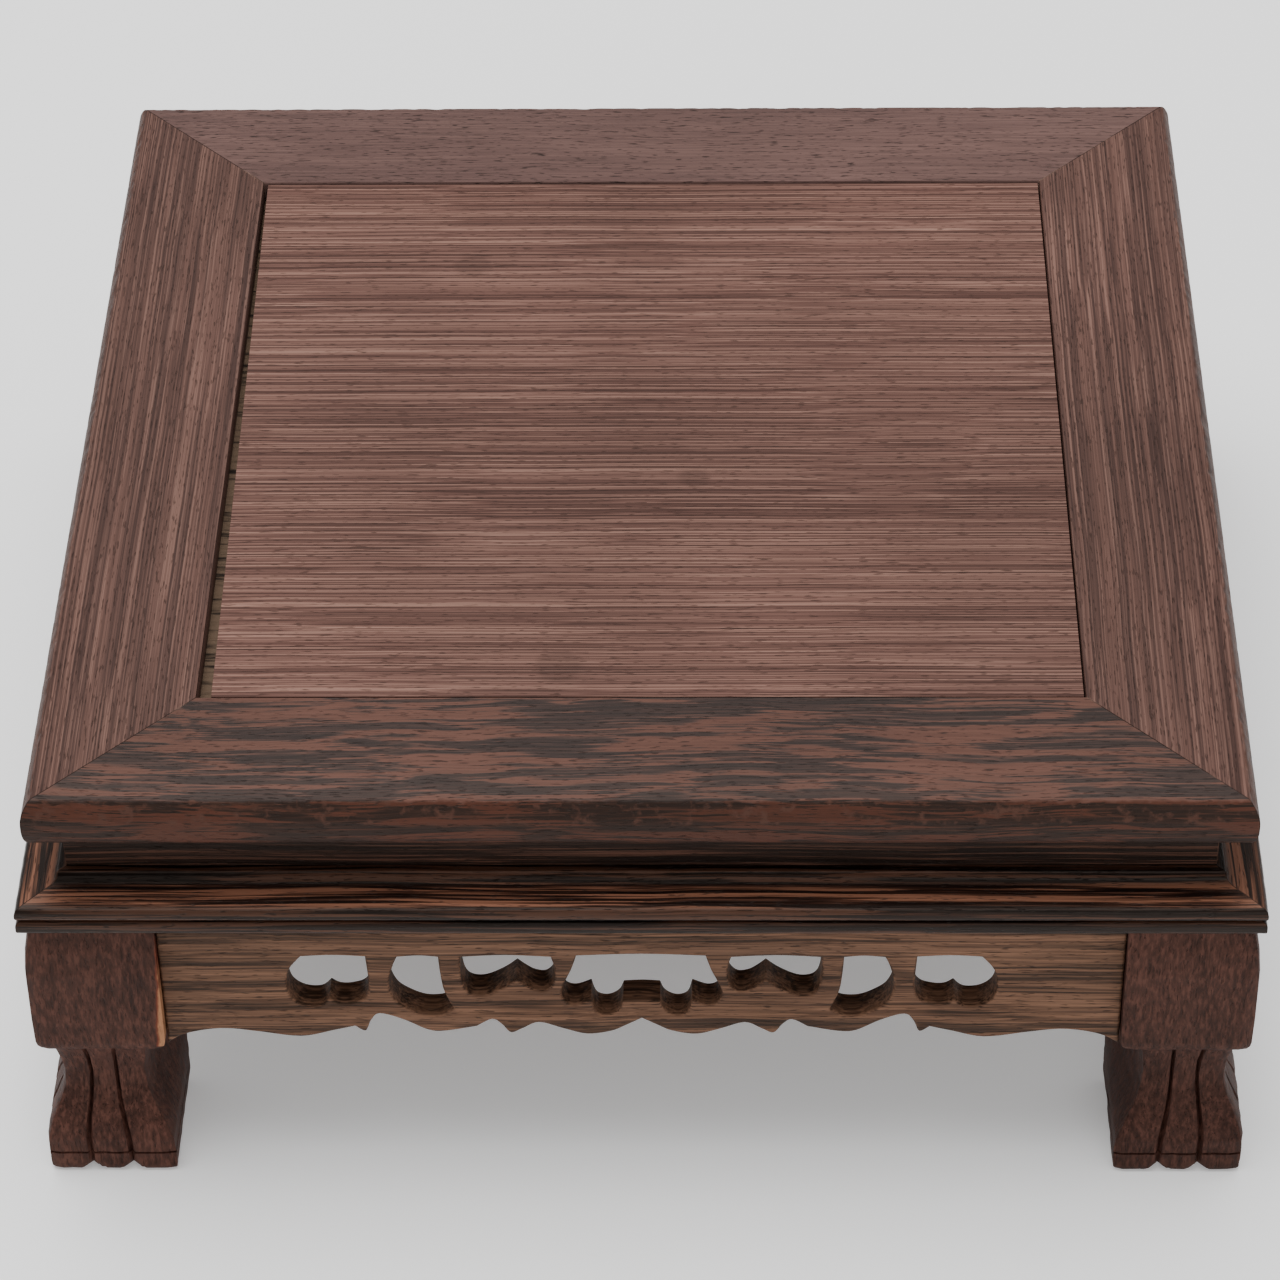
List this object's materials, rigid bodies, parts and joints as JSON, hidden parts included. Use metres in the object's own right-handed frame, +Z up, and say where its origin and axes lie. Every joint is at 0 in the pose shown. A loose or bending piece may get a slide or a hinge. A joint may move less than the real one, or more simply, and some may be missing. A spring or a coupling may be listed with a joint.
{
  "type": "carved wooden vase stand",
  "caption": "Low square wooden display stand with a mitred frame and loose panel, recessed waist, pierced scalloped aprons and carved toed legs.",
  "frame": {"origin": "on the ground, under the middle of the stand", "axes": "+Z up, front towards -Y, +X to the right when seen from the front"},
  "size_m": [0.2, 0.2, 0.0814],
  "materials": {
    "frame_wood": "dark striped hardwood, satin wax",
    "panel_wood": "straight-grained hardwood, dull wax",
    "dark_wood": "near-black hardwood with orange streaks, polished",
    "apron_wood": "brown hardwood with grey streaks, matte",
    "leg_wood": "dark red-brown hardwood, carved, matte"
  },
  "bodies": {
    "root": {"frame_front": "frame_wood", "frame_right": "frame_wood", "frame_back": "frame_wood", "frame_left": "frame_wood", "top_panel": "panel_wood", "panel_batten": "panel_wood", "mitre_spline_front_left": "frame_wood", "mitre_spline_front_right": "frame_wood", "mitre_spline_back_right": "frame_wood", "mitre_spline_back_left": "frame_wood", "waist_front": "dark_wood", "waist_right": "dark_wood", "waist_back": "dark_wood", "waist_left": "dark_wood", "moulding_front": "dark_wood", "moulding_right": "dark_wood", "moulding_back": "dark_wood", "moulding_left": "dark_wood", "apron_front": "apron_wood", "apron_right": "apron_wood", "apron_back": "apron_wood", "apron_left": "apron_wood", "leg_front_left": "leg_wood", "leg_front_right": "leg_wood", "leg_back_right": "leg_wood", "leg_back_left": "leg_wood"}
  },
  "joints": []
}
